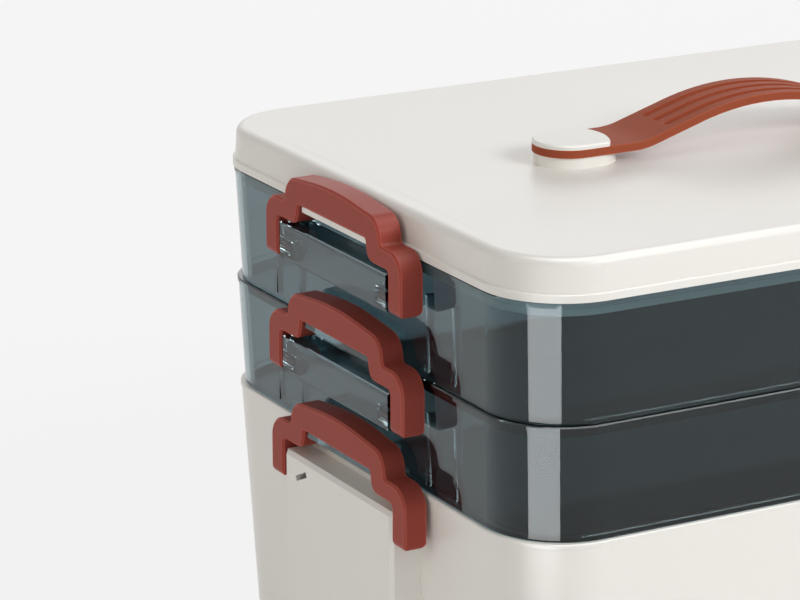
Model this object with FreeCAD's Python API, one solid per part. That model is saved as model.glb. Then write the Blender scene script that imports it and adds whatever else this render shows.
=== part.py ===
"""Stackable medicine box: a deep base, two clear tiers, a lid with a strap handle
and six snap latches, three on each end."""
import math
import os

import FreeCAD
import Part

V = FreeCAD.Vector

near = 0.01                 # an edge this close to a plane counts as lying in it
overrun = 1.0               # cutters pass the face that they cut by this much

# Footprint. Sizes are in millimetres, taken over the middle tier's rim.
length = 320.0
width = 230.0
corner_radius = 28.5
level_step = 0.7            # each rim stands this far outside the rim below it

# Heights, rim to rim
foot_height = 1.5
base_height = 110.0         # floor that the box stands on, to the base's rim
middle_height = 40.6
upper_height = 42.0
lid_height = 14.8           # upper tier's rim to the lid's border strip

# Walls and how the levels nest
base_wall = 2.6
tier_wall = 2.4
lid_wall = 2.2
floor_thickness = 2.2
base_draft = 2.7            # degrees
tier_draft = 2.3
lid_draft = 3.0
rim_height = 1.6
rim_proud = 0.4             # rim band past the wall below it
rim_chamfer = 0.4
seat_gap = 0.2              # shoulder of one level over the rim below
nest_depth = 4.3
nest_clearance = 0.35
nest_wall = 2.0
base_edge_chamfer = 3.0

# Lid
lip_height = 3.0
lip_proud = 0.35            # lip past the upper tier's rim
lip_chamfer = 0.3
lid_wall_inset = 0.4        # lid wall inside the upper tier's rim line
lid_edge_radius = 3.2
skirt_depth = 5.0
skirt_wall = 1.8
dish_depth = 1.8
dish_end_margin = 7.5       # flat strip along each end
dish_end_slope = 6.3
dish_side_margin = 25.0
dish_side_slope = 72.0       # long and soft, nearly to the middle

# Latch outline, measured from the rim of the level that carries it
latch_half_width = 49.0
latch_leg = 8.8
latch_top = 15.6            # apex of the crown before it is rounded
latch_shoulder = 3.4
latch_head_half = 33.2
latch_head_side = 12.1
latch_step = 1.4            # the head's side leans out by this much
latch_thickness = 8.6
latch_back = 1.4            # back face, out from the rim's end plane
latch_edge_chamfer = 0.8
slot_half = 24.3
slot_top = 3.6
slot_foot = -3.8
slot_lean = 1.6
crown_radius = 150.0
head_radius = 7.5
notch_radius = 1.6
shoulder_radius = 8.0
slot_radius = 1.0
slot_foot_radius = 4.5
leg_inner_radius = 2.0
leg_corner_radius = 2.6     # seen from the front
leg_end_radius = 2.8        # seen from the side

# Hinge pins, moulded on the latch's legs
pin_drop = 14.5             # below the rim
pin_radius = 2.3
pin_clearance = 0.05
pin_length = 8.4

# Hinge boss between the legs
boss_root = 6.0             # starts this far behind the rim's end plane, inside the wall
boss_front_gap = 0.3        # boss face behind the latch's face
tier_boss_gap = 1.8         # to each leg
base_boss_gap = 1.0
tier_boss_top = 5.6         # below the rim
base_boss_top = 7.6
tier_boss_bottom = 18.4
base_boss_bottom = 62.0
boss_wall = 1.8
boss_edge_chamfer = 1.4
socket_wall = 1.6
socket_length = 8.5
window_length = 8.5
window_height = 2.0
window_tilt = 25.0          # degrees, it rises towards the middle
window_place = 26.7         # centre, towards +Y
window_drop = 14.3          # centre below the rim

# Catch rib under the latch's bar
catch_reach = 8.6           # out from the rim's end plane
catch_gap = 0.4             # rib to the bar
catch_end_gap = 0.8         # rib to the slot's ends
catch_bottom = 1.2          # rib's lower edge over the rim
catch_slope = 46.0          # degrees, its top rises towards the wall
catch_top_reach = 3.0       # where the slope ends

# Guide ribs on the inside of a tier's end walls
guide_thickness = 1.6
guide_depth = 1.6
guide_places = (46.0, 64.0)
guide_top = 12.0            # below the rim

# Strap handle
strap_length = 177.4
strap_width = 25.4
strap_thickness = 2.9
strap_lift = 2.2            # strap's underside over the lid's border strip
strap_flat_end = 56.0       # from the middle of the box
strap_angle = 16.7          # degrees
strap_foot_radius = 31.3
strap_crown_radius = 97.4
grip_half_length = 40.0
grip_grooves = 3
groove_pitch = 7.0
groove_width = 3.4
groove_depth = 0.9

# Pads under the strap's ends, caps over them, posts and screws
pad_inset = 0.6             # inside the strap's outline
pad_length = 30.0
cap_length = 26.9
cap_bulge = 4.8
cap_thickness = 1.6
cap_edge_chamfer = 0.5
post_radius = 7.5
spigot_radius = 4.7
strap_slot_extra = 4.0      # the strap's hole is longer than the spigot
fit_gap = 0.15
stem_radius = 3.0
stem_length = 10.0
stem_grip = 0.05            # the stem's bore round the screw
screw_radius = 1.45
screw_length = 9.0
screw_head_radius = 2.8
screw_head_height = 1.8
screw_recess = 6.0          # post below the lid's ceiling

# Feet
foot_radius = 8.0
foot_recess = 1.0
foot_inset = 34.0


# Levels and positions, from the sizes above
base_rim = base_height
middle_rim = base_rim + middle_height
upper_rim = middle_rim + upper_height
lid_top = upper_rim + lid_height
lid_bottom = upper_rim + seat_gap
ceiling = lid_top - dish_depth - lid_wall
strap_seat = lid_top + strap_lift
strap_top = strap_seat + strap_thickness
screw_seat = strap_top - stem_length - lid_wall
latch_face = latch_back + latch_thickness
leg_inside = latch_half_width - latch_leg
pin_reach = latch_back + latch_thickness / 2
boss_face = latch_face - boss_front_gap
catch_half = slot_half - catch_end_gap


def grow(outline, distance):
    """Offset a rounded rectangle (half length, half width, corner radius)."""
    return tuple(size + distance for size in outline)


MIDDLE = (length / 2, width / 2, corner_radius)
BASE = grow(MIDDLE, -level_step)
UPPER = grow(MIDDLE, level_step)


def drawn_in(outline, drop, draft):
    """Outline of a drafted wall after it has come down by drop; the corners keep their radius."""
    inset = drop * math.tan(math.radians(draft))
    return outline[0] - inset, outline[1] - inset, outline[2]


def edges_at(shape, z):
    """Edges of a shape that lie at height z."""
    return [e for e in shape.Edges if e.BoundBox.ZMin > z - near and e.BoundBox.ZMax < z + near]


def polyline(points):
    """Straight edges from each point to the next."""
    return [Part.LineSegment(a, b).toShape() for a, b in zip(points, points[1:])]


def rounded_wire(outline, z):
    """Rounded rectangle at height z, centred on the Z axis."""
    half_x, half_y, radius = outline
    arcs = []
    for sign_x, sign_y, start in ((1, 1, 0), (-1, 1, 90), (-1, -1, 180), (1, -1, 270)):
        centre = V(sign_x * (half_x - radius), sign_y * (half_y - radius), z)
        angles = [math.radians(start + turn) for turn in (0, 45, 90)]
        arcs.append([centre + V(math.cos(a), math.sin(a), 0) * radius for a in angles])
    edges = []
    for arc, after in zip(arcs, arcs[1:] + arcs[:1]):
        edges.append(Part.Arc(*arc).toShape())
        edges += polyline([arc[2], after[0]])
    return Part.Wire(edges)


def tapered(top, z_top, bottom, z_bottom):
    """Solid between two rounded rectangles."""
    wires = [rounded_wire(bottom, z_bottom), rounded_wire(top, z_top)]
    return Part.makeLoft(wires, True, True)


def drafted(top, z_top, z_bottom, draft):
    """Solid that draws in towards the bottom."""
    return tapered(top, z_top, drawn_in(top, z_top - z_bottom, draft), z_bottom)


def prism(outline, z_bottom, z_top):
    return tapered(outline, z_top, outline, z_bottom)


def block(low, high):
    return Part.makeBox(high[0] - low[0], high[1] - low[1], high[2] - low[2], V(*low))


def rim_band(outline, rim):
    """Band along the top of a wall, its outer edge broken."""
    band = prism(outline, rim - rim_height, rim)
    return band.makeChamfer(rim_chamfer, edges_at(band, rim))


def round_corners(corners):
    """Closed wire in the YZ plane; each corner is (y, z, radius)."""
    count = len(corners)
    cuts = []
    for i, (y, z, radius) in enumerate(corners):
        here = V(0, y, z)
        to_last = V(0, corners[i - 1][0], corners[i - 1][1]) - here
        after = corners[(i + 1) % count]
        to_next = V(0, after[0], after[1]) - here
        to_last.normalize()
        to_next.normalize()
        half_angle = to_last.getAngle(to_next) / 2
        tangent = radius / math.tan(half_angle)
        bisector = to_last + to_next
        bisector.normalize()
        middle = here + bisector * (radius / math.sin(half_angle) - radius)
        cuts.append((here + to_last * tangent, middle, here + to_next * tangent))
    edges = []
    for cut, after in zip(cuts, cuts[1:] + cuts[:1]):
        edges.append(Part.Arc(*cut).toShape())
        edges += polyline([cut[2], after[0]])
    return Part.Wire(edges)


def side_profile(points, half):
    """Extrude a polygon of (x, z) points across the width, to half on each side."""
    corners = [V(x, -half, z) for x, z in points]
    face = Part.Face(Part.makePolygon(corners + corners[:1]))
    return face.extrude(V(0, 2 * half, 0))


def both_ends(shape):
    """A feature on the +X end, and its mirror image on the other end."""
    return [shape, shape.mirror(V(0, 0, 0), V(1, 0, 0))]


def catch_rise(reach):
    """Height that the catch's slope gains from a reach to its upper end."""
    return (reach - catch_top_reach) * math.tan(math.radians(catch_slope))


def catch_rib(carrier_end, rim):
    """Rib that a latch holds down, out from the wall above the rim that carries the latch."""
    tip = slot_top - catch_gap
    ridge = tip + catch_rise(catch_reach)
    inside = -lid_wall
    points = [(inside, catch_bottom), (catch_reach, catch_bottom), (catch_reach, tip),
              (catch_top_reach, ridge), (inside, ridge)]
    return side_profile([(carrier_end + x, rim + z) for x, z in points], catch_half)


def hinge_boss(end, rim, side_gap, top, bottom, chamfer):
    """Hollow block between a latch's legs, open below, with two pin sockets."""
    half = leg_inside - side_gap
    root = end - boss_root
    face = end + boss_face
    outer = block((root, -half, rim - bottom), (face, half, rim - top))
    if chamfer:
        outline = [e for e in outer.Edges if e.BoundBox.XMin > face - near]
        above = [e for e in outline if e.BoundBox.ZMax > rim - bottom + near]
        outer = outer.makeChamfer(chamfer, above)
    hollow = block((root, boss_wall - half, rim - bottom - overrun),
                   (face - boss_wall, half - boss_wall, rim - top - boss_wall))
    boss = outer.cut(hollow)
    for side in (-1, 1):
        start = V(end + pin_reach, side * half, rim - pin_drop)
        socket = Part.makeCylinder(pin_radius + socket_wall, socket_length, start, V(0, -side, 0))
        boss = boss.fuse(socket.common(outer))
    return boss.removeSplitter()


def pin_bores(end, rim):
    """Blind bores for the two pins of one latch, and for the one on the other end."""
    bores = []
    for side in (-1, 1):
        start = V(end + pin_reach, side * leg_inside, rim - pin_drop)
        bore = Part.makeCylinder(pin_radius + pin_clearance, pin_length + fit_gap, start, V(0, -side, 0))
        bores += both_ends(bore)
    return bores


def guide_ribs(room_end, low, high):
    """Upright ribs on the inside of both end walls."""
    ribs = []
    for place in guide_places:
        for side in (-1, 1):
            middle = side * place
            rib = block((room_end - guide_depth, middle - guide_thickness / 2, low),
                        (room_end + tier_wall, middle + guide_thickness / 2, high))
            ribs += both_ends(rib)
    return ribs


def tier(outline, rim, below, below_wall, below_rim):
    """Clear tray: rim band, drafted wall, a foot that nests below, and its end features."""
    shoulder = below_rim + seat_gap
    wall = drafted(grow(outline, -rim_proud), rim - rim_height, shoulder, tier_draft)
    foot_outline = grow(below, -below_wall - nest_clearance)
    foot_bottom = shoulder - nest_depth
    foot_part = drafted(foot_outline, shoulder, foot_bottom, tier_draft)
    body = rim_band(outline, rim).fuse([wall, foot_part])
    body = body.fuse(both_ends(catch_rib(below[0], below_rim)))
    boss = hinge_boss(outline[0], rim, tier_boss_gap, tier_boss_top, tier_boss_bottom, 0)
    body = body.fuse(both_ends(boss))

    step = shoulder + floor_thickness
    mouth = grow(outline, -tier_wall)
    room = drafted(mouth, rim, step, tier_draft)
    well = drafted(grow(foot_outline, -nest_wall), step, foot_bottom + floor_thickness, tier_draft)
    body = body.cut([room, well])
    room_end = drawn_in(mouth, rim - step, tier_draft)[0]
    body = body.fuse(guide_ribs(room_end, step, rim - guide_top))
    return body.cut(pin_bores(outline[0], rim)).removeSplitter()


def foot_places():
    return [(side_x * (BASE[0] - foot_inset), side_y * (BASE[1] - foot_inset))
            for side_x in (-1, 1) for side_y in (-1, 1)]


def base():
    """Deep cream box: drafted shell, hinge bosses with a slot window, recesses for the feet."""
    end = BASE[0]
    shell = drafted(grow(BASE, -rim_proud), base_rim - rim_height, foot_height, base_draft)
    shell = shell.makeChamfer(base_edge_chamfer, edges_at(shell, foot_height))
    boss = hinge_boss(end, base_rim, base_boss_gap, base_boss_top, base_boss_bottom, boss_edge_chamfer)
    body = rim_band(BASE, base_rim).fuse([shell] + both_ends(boss))

    floor = foot_height + floor_thickness
    cuts = [drafted(grow(BASE, -base_wall), base_rim, floor, base_draft)]
    depth = 3 * boss_wall
    window = Part.makeBox(depth, window_length, window_height,
                          V(-depth / 2, -window_length / 2, -window_height / 2))
    window.rotate(V(0, 0, 0), V(1, 0, 0), -window_tilt)
    window.translate(V(end + boss_face, window_place, base_rim - window_drop))
    cuts += pin_bores(end, base_rim) + both_ends(window)
    for x, y in foot_places():
        cuts.append(Part.makeCylinder(foot_radius + fit_gap, foot_recess, V(x, y, foot_height)))
    return body.cut(cuts).removeSplitter()


def foot(x, y):
    """Round pad, let into the base's floor."""
    return Part.makeCylinder(foot_radius, foot_height + foot_recess, V(x, y, 0))


def eased_edges(start, end, place):
    """Two tangent arcs from start to end, level at both; points are plane points (along, up)."""
    along, up = (end[0] - start[0]) / 2, (end[1] - start[1]) / 2
    radius = (along ** 2 + up ** 2) / (2 * abs(up))
    half_turn = math.asin(abs(along) / radius) / 2
    sag = math.copysign(radius * (1 - math.cos(half_turn)), up)
    reach = math.copysign(radius * math.sin(half_turn), along)
    middle = (start[0] + along, start[1] + up)
    first = (start[0] + reach, start[1] + sag)
    last = (end[0] - reach, end[1] - sag)
    return [Part.Arc(place(start), place(first), place(middle)).toShape(),
            Part.Arc(place(middle), place(last), place(end)).toShape()]


def closed_loop(edges, out, above, place):
    """Face inside a dish profile: its edges, closed by a box above the lid's top."""
    loop = [(out, lid_top), (out, above), (-out, above), (-out, lid_top)]
    return Part.Face(Part.Wire(edges + polyline([place(point) for point in loop])))


def dish():
    """Shallow recess of the lid's top: long soft slopes at the sides, a flat ramp at each end."""
    floor = lid_top - dish_depth
    side_out = UPPER[1] - dish_side_margin
    side_in = side_out - dish_side_slope
    end_out = UPPER[0] - dish_end_margin
    half_x = end_out + overrun
    half_y = side_out + overrun

    def across(point):
        return V(-half_x, point[0], point[1])

    def along(point):
        return V(point[0], -half_y, point[1])

    edges = eased_edges((-side_out, lid_top), (-side_in, floor), across)
    edges += polyline([across((-side_in, floor)), across((side_in, floor))])
    edges += eased_edges((side_in, floor), (side_out, lid_top), across)
    trough = closed_loop(edges, side_out, lid_top + overrun, across).extrude(V(2 * half_x, 0, 0))

    # The ramps run on to twice the depth, so that the trough alone makes the floor
    deep_x = end_out - 2 * dish_end_slope
    deep_z = lid_top - 2 * dish_depth
    corners = [(-end_out, lid_top), (-deep_x, deep_z), (deep_x, deep_z), (end_out, lid_top)]
    edges = polyline([along(point) for point in corners])
    lengthwise = closed_loop(edges, end_out, lid_top + 2 * overrun, along).extrude(V(0, 2 * half_y, 0))
    return trough.common(lengthwise)


def post_places():
    """The two posts' X positions, left and right."""
    reach = (strap_length - strap_width) / 2
    return [-reach, reach]


def rod(radius, x, low, high):
    """Upright cylinder on the strap's centre line."""
    return Part.makeCylinder(radius, high - low, V(x, 0, low))


def handle_pad(side):
    """Raised pad that one end of the strap lies on."""
    half_width = strap_width / 2 - pad_inset
    pad = prism((pad_length / 2, half_width, half_width - near), ceiling, strap_seat)
    pad.translate(V(side * (strap_length / 2 - pad_inset - pad_length / 2), 0, 0))
    return pad


def lid():
    """Cream lid: lip, drafted wall, dished top, nesting skirt, catch ribs and handle posts."""
    lip = prism(grow(UPPER, lip_proud), lid_bottom, upper_rim + lip_height)
    lip = lip.makeChamfer(lip_chamfer, edges_at(lip, upper_rim + lip_height))
    wall_outline = grow(UPPER, -lid_wall_inset)
    top_outline = grow(wall_outline, -(lid_height - seat_gap) * math.tan(math.radians(lid_draft)))
    wall = tapered(top_outline, lid_top, wall_outline, lid_bottom)
    wall = wall.makeFillet(lid_edge_radius, edges_at(wall, lid_top))
    skirt_outline = grow(UPPER, -tier_wall - nest_clearance)
    skirt_low = drawn_in(skirt_outline, skirt_depth, tier_draft)
    skirt_bottom = lid_bottom - skirt_depth
    skirt = tapered(skirt_outline, lid_bottom, skirt_low, skirt_bottom)
    body = lip.fuse([wall, skirt] + both_ends(catch_rib(UPPER[0], upper_rim)))
    room = tapered(grow(skirt_outline, -skirt_wall), ceiling, grow(skirt_low, -skirt_wall), skirt_bottom)
    body = body.cut([room, dish()])

    additions = [handle_pad(-1), handle_pad(1)]
    cuts = []
    for x in post_places():
        additions.append(rod(post_radius, x, ceiling - screw_recess, ceiling))
        additions.append(rod(spigot_radius, x, strap_seat, strap_top - fit_gap))
        cuts.append(rod(stem_radius + fit_gap, x, strap_top - stem_length - fit_gap, strap_top))
        cuts.append(rod(screw_radius + fit_gap, x, screw_seat, strap_top))
        cuts.append(rod(screw_head_radius + fit_gap, x, skirt_bottom, screw_seat))
    return body.fuse(additions).cut(cuts).removeSplitter()


def strap_curve(offset):
    """Points of the strap's underside, or a line offset above it, from end to middle."""
    angle = math.radians(strap_angle)
    foot_arc = strap_foot_radius - offset
    crown_arc = strap_crown_radius + offset
    centre_z = strap_seat + strap_foot_radius
    foot_middle = (strap_flat_end - foot_arc * math.sin(angle / 2), centre_z - foot_arc * math.cos(angle / 2))
    foot_end = (strap_flat_end - foot_arc * math.sin(angle), centre_z - foot_arc * math.cos(angle))
    crown_x = crown_arc * math.sin(angle)
    crown_z = foot_end[1] + (foot_end[0] - crown_x) * math.tan(angle)
    return {"end": (strap_length / 2, strap_seat + offset),
            "flat": (strap_flat_end, strap_seat + offset),
            "foot_middle": foot_middle, "foot_end": foot_end, "crown_start": (crown_x, crown_z),
            "crown": (0, crown_z + crown_arc * (1 - math.cos(angle)))}


def strap_edges(curve, y):
    """Edges of one strap line, from the +X end to the -X end."""
    def at(name, sign):
        x, z = curve[name]
        return V(sign * x, y, z)

    edges = [Part.Arc(at("crown_start", 1), at("crown", 1), at("crown_start", -1)).toShape()]
    for sign in (-1, 1):
        edges += polyline([at("end", sign), at("flat", sign)])
        edges += polyline([at("foot_end", sign), at("crown_start", sign)])
        edges.append(Part.Arc(at("flat", sign), at("foot_middle", sign), at("foot_end", sign)).toShape())
    return edges


def strap_band(low, high, y, depth):
    """Solid between two offset strap lines, from y over a depth."""
    below, above = strap_curve(low), strap_curve(high)
    edges = strap_edges(below, y) + strap_edges(above, y)
    for sign in (-1, 1):
        ends = [V(sign * curve["end"][0], y, curve["end"][1]) for curve in (below, above)]
        edges += polyline(ends)
    face = Part.Face(Part.Wire(Part.__sortEdges__(edges)))
    return face.extrude(V(0, depth, 0))


def handle_strap():
    """Arched strap with round ends, a slotted hole at each post and a grooved grip."""
    half = strap_width / 2
    high = strap_seat + strap_length
    band = strap_band(0, strap_thickness, -half, strap_width)
    band = band.common(prism((strap_length / 2, half, half - near), lid_top, high))
    hole = spigot_radius + fit_gap
    cuts = []
    for x in post_places():
        slot = prism((hole + strap_slot_extra / 2, hole, hole - near), lid_top, strap_top + overrun)
        slot.translate(V(x, 0, 0))
        cuts.append(slot)
    limit = block((-grip_half_length, -half, lid_top), (grip_half_length, half, high))
    for i in range(grip_grooves):
        y = (i - (grip_grooves - 1) / 2) * groove_pitch - groove_width / 2
        groove = strap_band(strap_thickness - groove_depth, strap_thickness + overrun, y, groove_width)
        cuts.append(groove.common(limit))
    return band.cut(cuts)


def handle_cap(x, outward):
    """Cover over one end of the strap, with a stem that a screw pulls down."""
    half = strap_width / 2
    inner = x - outward * (cap_length - half - cap_bulge)

    def at(px, py):
        return V(px, py, strap_top)

    edges = [Part.Arc(at(x, -half), at(x + outward * half, 0), at(x, half)).toShape(),
             Part.Arc(at(inner, half), at(inner - outward * cap_bulge, 0), at(inner, -half)).toShape()]
    edges += polyline([at(x, half), at(inner, half)]) + polyline([at(inner, -half), at(x, -half)])
    plate = Part.Face(Part.Wire(Part.__sortEdges__(edges))).extrude(V(0, 0, cap_thickness))
    plate = plate.makeChamfer(cap_edge_chamfer, edges_at(plate, strap_top + cap_thickness))
    low = strap_top - stem_length
    stem = rod(stem_radius, x, low, strap_top)
    bore = rod(screw_radius + stem_grip, x, low, low + screw_length)
    return plate.fuse(stem).cut(bore).removeSplitter()


def handle_screw(x):
    """Pan-head screw that comes up through the post into the cap's stem."""
    head = rod(screw_head_radius, x, screw_seat - screw_head_height, screw_seat)
    return head.fuse(rod(screw_radius, x, screw_seat, screw_seat + screw_length)).removeSplitter()


def latch_plate(end, rim, bottom):
    """Stepped arch with a broken front edge; seen from the side, its legs end in rounded corners."""
    right = [(latch_head_half, latch_head_side, head_radius),
             (latch_head_half + latch_step, latch_shoulder, notch_radius),
             (latch_half_width, latch_shoulder, shoulder_radius),
             (latch_half_width, bottom, leg_corner_radius),
             (leg_inside, bottom, leg_corner_radius),
             (leg_inside, slot_foot, leg_inner_radius),
             (slot_half + slot_lean, slot_foot, slot_foot_radius),
             (slot_half, slot_top, slot_radius)]
    left = [(-y, z, radius) for y, z, radius in reversed(right)]
    wire = round_corners([(0, latch_top, crown_radius)] + right + left)
    wire.translate(V(end + latch_back, 0, rim))
    plate = Part.Face(wire).extrude(V(latch_thickness, 0, 0))
    front = [e for e in plate.Edges if e.BoundBox.XMin > end + latch_face - near]
    plate = plate.makeChamfer(latch_edge_chamfer, front)
    reach = block((end + latch_back, -latch_half_width, rim + bottom),
                  (end + latch_face, latch_half_width, rim + latch_top))
    low = [e for e in edges_at(reach, rim + bottom) if e.BoundBox.XLength < near]
    return plate.common(reach.makeFillet(leg_end_radius, low))


def latch(end, rim):
    """Latch whose bar holds the catch rib above; pins on the insides of its legs."""
    body = latch_plate(end, rim, -pin_drop - latch_thickness / 2)
    nose = catch_reach + catch_gap
    high = slot_top + catch_rise(nose)
    low = slot_top - overrun
    behind = latch_back - overrun
    points = [(nose, low), (nose, slot_top), (catch_top_reach, high), (behind, high), (behind, low)]
    body = body.cut(side_profile([(end + x, rim + z) for x, z in points], slot_half))
    for side in (-1, 1):
        start = V(end + pin_reach, side * leg_inside, rim - pin_drop)
        body = body.fuse(Part.makeCylinder(pin_radius, pin_length, start, V(0, -side, 0)))
    return body.removeSplitter()


def write(name, shape):
    """Write one piece as a STEP file, and print what it is."""
    solid = shape.Solids[0]
    solid.exportStep(os.path.join("parts", name + ".step"))
    box = solid.BoundBox
    print("%-20s solids %d valid %s volume %8.0f x %.1f..%.1f y %.1f..%.1f z %.1f..%.1f" % (
        name, len(shape.Solids), shape.isValid(), solid.Volume,
        box.XMin, box.XMax, box.YMin, box.YMax, box.ZMin, box.ZMax))


def main():
    os.makedirs("parts", exist_ok=True)
    write("base_box", base())
    for number, (x, y) in enumerate(foot_places(), 1):
        write("foot_%d" % number, foot(x, y))
    write("middle_tier", tier(MIDDLE, middle_rim, BASE, base_wall, base_rim))
    write("upper_tier", tier(UPPER, upper_rim, MIDDLE, tier_wall, middle_rim))
    write("lid", lid())
    write("handle_strap", handle_strap())
    for name, x, outward in zip(("left", "right"), post_places(), (-1, 1)):
        write("handle_cap_" + name, handle_cap(x, outward))
        write("handle_screw_" + name, handle_screw(x))
    for name, outline, rim in (("base", BASE, base_rim), ("middle", MIDDLE, middle_rim),
                               ("upper", UPPER, upper_rim)):
        right, left = both_ends(latch(outline[0], rim))
        write(name + "_latch_right", right)
        write(name + "_latch_left", left)


main()
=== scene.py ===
"""Looks of a stackable medicine box: cream plastic base and lid, two smoky clear tiers,
terracotta snap latches and a terracotta strap handle with pale end caps.

Lengths are in metres and angles in degrees, unless a comment says otherwise."""
import math

import bpy
import bmesh
from mathutils import Matrix, Vector

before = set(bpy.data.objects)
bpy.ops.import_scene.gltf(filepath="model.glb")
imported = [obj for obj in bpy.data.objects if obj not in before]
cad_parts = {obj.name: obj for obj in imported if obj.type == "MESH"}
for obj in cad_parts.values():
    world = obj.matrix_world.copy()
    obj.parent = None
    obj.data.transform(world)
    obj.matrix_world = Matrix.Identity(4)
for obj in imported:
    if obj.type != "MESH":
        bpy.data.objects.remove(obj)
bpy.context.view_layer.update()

# Camera, fitted to the rims of the box in the photograph
CAMERA_PLACE = Vector((-0.7541, -1.1016, 0.5423))
CAMERA_AZIMUTH = -28.997       # 0 looks along +Y
CAMERA_ELEVATION = 16.702      # how far it looks down
CAMERA_ROLL = -0.103
CAMERA_LENS = 170.59           # mm
CAMERA_SENSOR = 36.0           # mm

# Colours, as sRGB values from 0 to 255
CREAM = (237, 234, 228)
SMOKE = (137, 155, 160)
TERRACOTTA = (157, 72, 61)
STRAP = (156, 78, 53)
CAP = (236, 234, 228)
STEEL = (176, 176, 178)
PAD = (150, 148, 142)
FLOOR = (246, 246, 246)
BACKDROP = (254, 254, 254)

# Moulded skin: soft clouds that move tone and roughness, and a fine grain
CLOUD_SCALE = 9.0              # per metre
ROUGHNESS_SWING = 0.12
GRAIN_SCALE = 2600.0           # per metre
GRAIN_DEPTH = 0.00002
PLASTIC_SHEEN = 0.5            # specular level
TERRACOTTA_SHEEN = 0.08

# Painted highlight: the edges of the terracotta pieces are coloured lighter. The limits are
# cosines of the angle between a face and the same face with its edges rounded.
HIGHLIGHT_EDGE_RADIUS = 0.0007
HIGHLIGHT_EDGE_SAMPLES = 6
HIGHLIGHT_EDGE_FROM = 0.985
HIGHLIGHT_EDGE_FULL = 0.935

# Smoky clear tiers
SMOKE_ROUGHNESS = 0.03
SMOKE_IOR = 1.42

# Zinc-plated screws
STREAK_SCALE = 900.0           # per metre
STEEL_ROUGHNESS = (0.25, 0.45)

# Floor, world and lamps
FLOOR_HALF = 6.0
FLOOR_ROUGHNESS = 0.9
FLOOR_GLOW = 0.8               # share of the backdrop's white in what the camera sees of it
WORLD_LIGHT = 0.38
AIM = (0.0, 0.0, 0.12)         # where the lamps point, near the middle of the box
WHITE = (1.0, 1.0, 1.0)
WARM = (1.0, 0.91, 0.78)


def linear(colour):
    """An sRGB colour as the linear RGBA that shaders take."""
    parts = []
    for value in colour:
        share = value / 255
        parts.append(share / 12.92 if share <= 0.04045 else ((share + 0.055) / 1.055) ** 2.4)
    return (*parts, 1.0)


def add_node(tree, kind, **values):
    """A node of a kind, with its properties or its inputs set by name."""
    node = tree.nodes.new(kind)
    for name, value in values.items():
        if hasattr(node, name):
            setattr(node, name, value)
        else:
            node.inputs[name.replace("_", " ")].default_value = value
    return node


def new_group(name, inputs, outputs):
    """An empty shader group with named sockets; gives its tree, input node and output node."""
    tree = bpy.data.node_groups.new(name, "ShaderNodeTree")
    for label, kind in inputs:
        tree.interface.new_socket(label, in_out="INPUT", socket_type=kind)
    for label, kind in outputs:
        tree.interface.new_socket(label, in_out="OUTPUT", socket_type=kind)
    return tree, tree.nodes.new("NodeGroupInput"), tree.nodes.new("NodeGroupOutput")


def place_group(tree, group, **values):
    """A node that holds a shader group, with its inputs set by name."""
    node = tree.nodes.new("ShaderNodeGroup")
    node.node_tree = group
    for name, value in values.items():
        node.inputs[name.replace("_", " ")].default_value = value
    return node


def moulded_skin_group():
    """Moulded plastic: cloudy tone, fine grain, and roughness that drifts over the surface."""
    tree, given, made = new_group(
        "moulded_skin",
        [("Colour", "NodeSocketColor"), ("Tone", "NodeSocketFloat"),
         ("Roughness", "NodeSocketFloat"), ("Grain Size", "NodeSocketFloat")],
        [("Colour", "NodeSocketColor"), ("Roughness", "NodeSocketFloat"),
         ("Height", "NodeSocketFloat")])
    link = tree.links.new
    place = add_node(tree, "ShaderNodeTexCoord")
    cloud = add_node(tree, "ShaderNodeTexNoise", Scale=CLOUD_SCALE, Detail=3.0, Roughness=0.55)
    grain = add_node(tree, "ShaderNodeTexNoise", Detail=2.0, Roughness=0.6)
    link(place.outputs["Object"], cloud.inputs["Vector"])
    link(place.outputs["Object"], grain.inputs["Vector"])
    link(given.outputs["Grain Size"], grain.inputs["Scale"])

    # The clouds run from 0 to 1 around a half, so the swing runs around 0
    swing = add_node(tree, "ShaderNodeMath", operation="SUBTRACT")
    swing.inputs[1].default_value = 0.5
    link(cloud.outputs["Fac"], swing.inputs[0])
    tone = add_node(tree, "ShaderNodeMath", operation="MULTIPLY_ADD")
    tone.inputs[2].default_value = 1.0
    link(swing.outputs[0], tone.inputs[0])
    link(given.outputs["Tone"], tone.inputs[1])
    shade = add_node(tree, "ShaderNodeVectorMath", operation="SCALE")
    link(given.outputs["Colour"], shade.inputs[0])
    link(tone.outputs[0], shade.inputs["Scale"])
    link(shade.outputs[0], made.inputs["Colour"])

    rough = add_node(tree, "ShaderNodeMath", operation="MULTIPLY_ADD")
    rough.inputs[1].default_value = ROUGHNESS_SWING
    link(swing.outputs[0], rough.inputs[0])
    link(given.outputs["Roughness"], rough.inputs[2])
    link(rough.outputs[0], made.inputs["Roughness"])
    link(grain.outputs["Fac"], made.inputs["Height"])
    return tree


def highlight_edge_group():
    """Mask that is 1 along a piece's edges and 0 on its flat or gently curved faces; it places a
    painted highlight.
    """
    tree, given, made = new_group("painted_highlight_edge_mask", [("Radius", "NodeSocketFloat")],
                                  [("Mask", "NodeSocketFloat")])
    link = tree.links.new
    rounded = add_node(tree, "ShaderNodeBevel", samples=HIGHLIGHT_EDGE_SAMPLES)
    plain = add_node(tree, "ShaderNodeNewGeometry")
    turn = add_node(tree, "ShaderNodeVectorMath", operation="DOT_PRODUCT")
    mask = add_node(tree, "ShaderNodeMapRange", From_Min=HIGHLIGHT_EDGE_FROM, From_Max=HIGHLIGHT_EDGE_FULL)
    link(given.outputs["Radius"], rounded.inputs["Radius"])
    link(rounded.outputs["Normal"], turn.inputs[0])
    link(plain.outputs["True Normal"], turn.inputs[1])
    link(turn.outputs["Value"], mask.inputs["Value"])
    link(mask.outputs[0], made.inputs["Mask"])
    return tree


MOULDED_SKIN = moulded_skin_group()
HIGHLIGHT_EDGE_MASK = highlight_edge_group()


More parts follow.
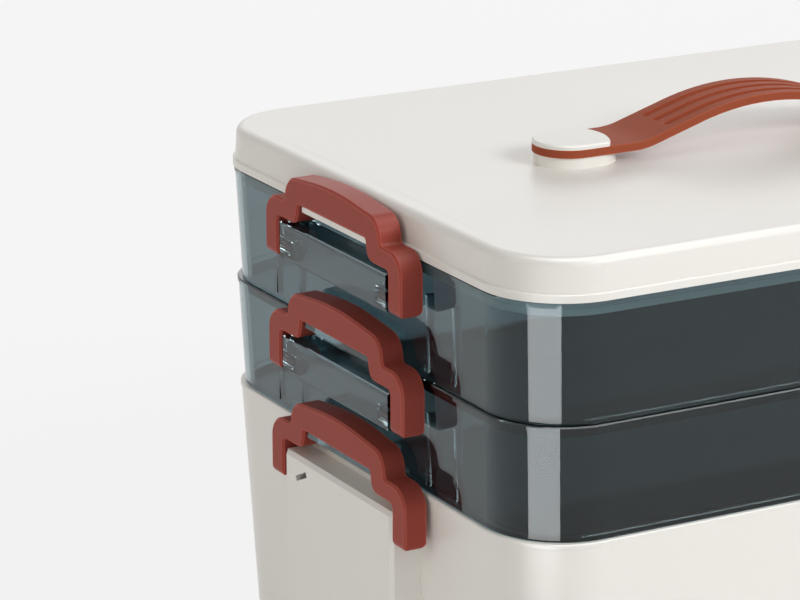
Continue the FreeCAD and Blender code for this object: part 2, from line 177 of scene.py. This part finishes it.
def new_material(name):
    """A new material, with its node tree and its Principled shader."""
    material = bpy.data.materials.new(name)
    material.use_nodes = True
    return material, material.node_tree, material.node_tree.nodes["Principled BSDF"]


def paint_edge_highlight(tree, colour, lift):
    """A socket's colour with a painted highlight: made lighter along the piece's edges; lift is
    by how large a share.
    """
    rim = place_group(tree, HIGHLIGHT_EDGE_MASK, Radius=HIGHLIGHT_EDGE_RADIUS)
    scale = add_node(tree, "ShaderNodeMath", operation="MULTIPLY_ADD")
    scale.inputs[1].default_value = lift
    scale.inputs[2].default_value = 1.0
    lit = add_node(tree, "ShaderNodeVectorMath", operation="SCALE")
    tree.links.new(rim.outputs["Mask"], scale.inputs[0])
    tree.links.new(colour, lit.inputs[0])
    tree.links.new(scale.outputs[0], lit.inputs["Scale"])
    return lit.outputs[0]


def moulded_material(name, colour, roughness, tone=0.03, bump=0.25, sheen=PLASTIC_SHEEN,
                     edge_highlight=0.0):
    """Opaque moulded plastic or rubber, with a painted highlight along its edges whose strength
    is the last argument.
    """
    material, tree, shader = new_material(name)
    link = tree.links.new
    skin = place_group(tree, MOULDED_SKIN, Colour=linear(colour), Tone=tone, Roughness=roughness,
                       Grain_Size=GRAIN_SCALE)
    relief = add_node(tree, "ShaderNodeBump", Strength=bump, Distance=GRAIN_DEPTH)
    tint = skin.outputs["Colour"]
    # Painted highlight: the colour is made lighter along the edges.
    if edge_highlight:
        tint = paint_edge_highlight(tree, tint, edge_highlight)
    link(tint, shader.inputs["Base Color"])
    link(skin.outputs["Roughness"], shader.inputs["Roughness"])
    link(skin.outputs["Height"], relief.inputs["Height"])
    link(relief.outputs["Normal"], shader.inputs["Normal"])
    shader.inputs["Specular IOR Level"].default_value = sheen
    return material


def mix_on_surface(tree, share, first, second):
    """Send a mix of two shaders to the tree's output; share is how much is of the second."""
    output = tree.nodes.get("Material Output") or tree.nodes["World Output"]
    blend = add_node(tree, "ShaderNodeMixShader")
    tree.links.new(share, blend.inputs["Fac"])
    tree.links.new(first.outputs[0], blend.inputs[1])
    tree.links.new(second.outputs[0], blend.inputs[2])
    tree.links.new(blend.outputs[0], output.inputs["Surface"])


def smoky_material():
    """Clear smoky styrene: tinted, glossy, and open to the light of lamps."""
    material, tree, shader = new_material("smoky_clear")
    shader.inputs["Base Color"].default_value = linear(SMOKE)
    shader.inputs["Roughness"].default_value = SMOKE_ROUGHNESS
    shader.inputs["IOR"].default_value = SMOKE_IOR
    shader.inputs["Transmission Weight"].default_value = 1.0
    film = add_node(tree, "ShaderNodeBsdfTransparent", Color=linear(SMOKE))
    path = add_node(tree, "ShaderNodeLightPath")
    mix_on_surface(tree, path.outputs["Is Shadow Ray"], shader, film)
    return material


def steel_material():
    """Zinc-plated steel, its roughness broken up by fine streaks."""
    material, tree, shader = new_material("zinc_steel")
    link = tree.links.new
    shader.inputs["Base Color"].default_value = linear(STEEL)
    shader.inputs["Metallic"].default_value = 1.0
    place = add_node(tree, "ShaderNodeTexCoord")
    streak = add_node(tree, "ShaderNodeTexNoise", Scale=STREAK_SCALE, Detail=2.0)
    smooth, dull = STEEL_ROUGHNESS
    spread = add_node(tree, "ShaderNodeMapRange", To_Min=smooth, To_Max=dull)
    link(place.outputs["Object"], streak.inputs["Vector"])
    link(streak.outputs["Fac"], spread.inputs["Value"])
    link(spread.outputs[0], shader.inputs["Roughness"])
    return material


def dress(node, material):
    """Give a CAD node a material."""
    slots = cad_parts[node].data.materials
    slots.clear()
    slots.append(material)


def dress_nodes():
    """Give every CAD node the material that goes with the start of its name."""
    cream = moulded_material("cream_shell", CREAM, roughness=0.32)
    # The latches get a painted highlight along their edges.
    terracotta = moulded_material("terracotta_shell", TERRACOTTA, roughness=0.38, tone=0.06,
                                  sheen=TERRACOTTA_SHEEN, edge_highlight=0.8)
    smoky = smoky_material()
    looks = {
        "base_box": cream,
        "lid": cream,
        "middle_tier": smoky,
        "upper_tier": smoky,
        # The strap gets a fainter painted highlight along its edges.
        "handle_strap": moulded_material("terracotta_strap", STRAP, roughness=0.58, tone=0.05,
                                         bump=0.4, sheen=TERRACOTTA_SHEEN, edge_highlight=0.4),
        "handle_cap": moulded_material("pale_cap", CAP, roughness=0.38),
        "handle_screw": steel_material(),
        "foot": moulded_material("grey_pad", PAD, roughness=0.8),
        "base_latch": terracotta,
        "middle_latch": terracotta,
        "upper_latch": terracotta,
    }
    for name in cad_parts:
        dress(name, next(look for start, look in looks.items() if name.startswith(start)))


def area_light(name, place, target, size, power, color=WHITE, **shown):
    """A rectangular lamp at a place, turned to a target; shown sets which rays see it."""
    data = bpy.data.lights.new(name, "AREA")
    data.shape = "RECTANGLE"
    data.size, data.size_y = size
    data.energy = power
    data.color = color
    lamp = bpy.data.objects.new(name, data)
    lamp.location = place
    lamp.rotation_euler = (Vector(target) - Vector(place)).to_track_quat("-Z", "Y").to_euler()
    for setting, value in shown.items():
        setattr(lamp, setting, value)
    bpy.context.scene.collection.objects.link(lamp)


def make_lights():
    """Three lamps that light the box, and two cards that only its reflections show."""
    area_light("key", place=(0.55, -1.45, 1.1), target=AIM, size=(0.8, 0.6), power=17.5)
    area_light("left_fill", place=(-1.9, 0.1, 0.9), target=AIM, size=(1.0, 1.0), power=4.4,
               color=WARM)
    area_light("back_panel", place=(1.0, 1.9, 1.15), target=AIM, size=(2.6, 1.1), power=7.0,
               visible_camera=False)

    # Straight above: a bright line along each rim and latch edge
    area_light("rim_card", place=(0.25, -0.3, 1.5), target=(0.25, -0.3, 0.0), size=(1.8, 1.2),
               power=36.0, visible_camera=False, visible_diffuse=False)
    # Close to the base's near corner: the bright strip on it
    area_light("corner_card", place=(-0.2875, -0.213, 0.074), target=(-0.15, -0.108, 0.074),
               size=(0.156, 0.125), power=0.42, visible_camera=False, visible_diffuse=False)


def seen_rays(tree):
    """1 for rays that show the backdrop: straight from the camera, reflected or let through."""
    path = add_node(tree, "ShaderNodeLightPath")
    shown = path.outputs["Is Camera Ray"]
    for ray in ("Is Glossy Ray", "Is Transmission Ray"):
        either = add_node(tree, "ShaderNodeMath", operation="MAXIMUM")
        tree.links.new(shown, either.inputs[0])
        tree.links.new(path.outputs[ray], either.inputs[1])
        shown = either.outputs[0]
    return shown


def make_floor():
    """A pale floor that takes the box's shadow and fades into the backdrop."""
    mesh = bpy.data.meshes.new("floor")
    shape = bmesh.new()
    bmesh.ops.create_grid(shape, x_segments=1, y_segments=1, size=FLOOR_HALF)
    shape.to_mesh(mesh)
    shape.free()
    floor = bpy.data.objects.new("floor", mesh)
    bpy.context.scene.collection.objects.link(floor)

    material, tree, shader = new_material("pale_floor")
    shader.inputs["Base Color"].default_value = linear(FLOOR)
    shader.inputs["Roughness"].default_value = FLOOR_ROUGHNESS
    glow = add_node(tree, "ShaderNodeEmission", Color=linear(BACKDROP))
    share = add_node(tree, "ShaderNodeMath", operation="MULTIPLY")
    share.inputs[1].default_value = FLOOR_GLOW
    tree.links.new(seen_rays(tree), share.inputs[0])
    mix_on_surface(tree, share.outputs[0], shader, glow)
    mesh.materials.append(material)


def make_world():
    """Even light from all round, behind a backdrop that is white where it is seen."""
    world = bpy.data.worlds.new("studio")
    bpy.context.scene.world = world
    world.use_nodes = True
    tree = world.node_tree
    light = tree.nodes["Background"]
    light.inputs["Color"].default_value = (*WHITE, 1.0)
    light.inputs["Strength"].default_value = WORLD_LIGHT
    seen = add_node(tree, "ShaderNodeBackground", Color=linear(BACKDROP))
    mix_on_surface(tree, seen_rays(tree), light, seen)


def make_camera():
    """The camera of the photograph."""
    data = bpy.data.cameras.new("camera")
    data.sensor_width = CAMERA_SENSOR
    data.lens = CAMERA_LENS
    camera = bpy.data.objects.new("camera", data)
    azimuth = math.radians(CAMERA_AZIMUTH)
    elevation = math.radians(CAMERA_ELEVATION)
    roll = math.radians(CAMERA_ROLL)
    look = Vector((-math.sin(azimuth) * math.cos(elevation),
                   math.cos(azimuth) * math.cos(elevation),
                   -math.sin(elevation)))
    level_right = look.cross(Vector((0, 0, 1))).normalized()
    level_up = level_right.cross(look)
    right = level_right * math.cos(roll) + level_up * math.sin(roll)
    up = level_up * math.cos(roll) - level_right * math.sin(roll)
    turn = Matrix((right, up, -look)).transposed()
    camera.matrix_world = Matrix.Translation(CAMERA_PLACE) @ turn.to_4x4()
    bpy.context.scene.collection.objects.link(camera)
    bpy.context.scene.camera = camera


bpy.context.scene.view_settings.view_transform = "Standard"
make_camera()
make_world()
make_floor()
make_lights()
dress_nodes()
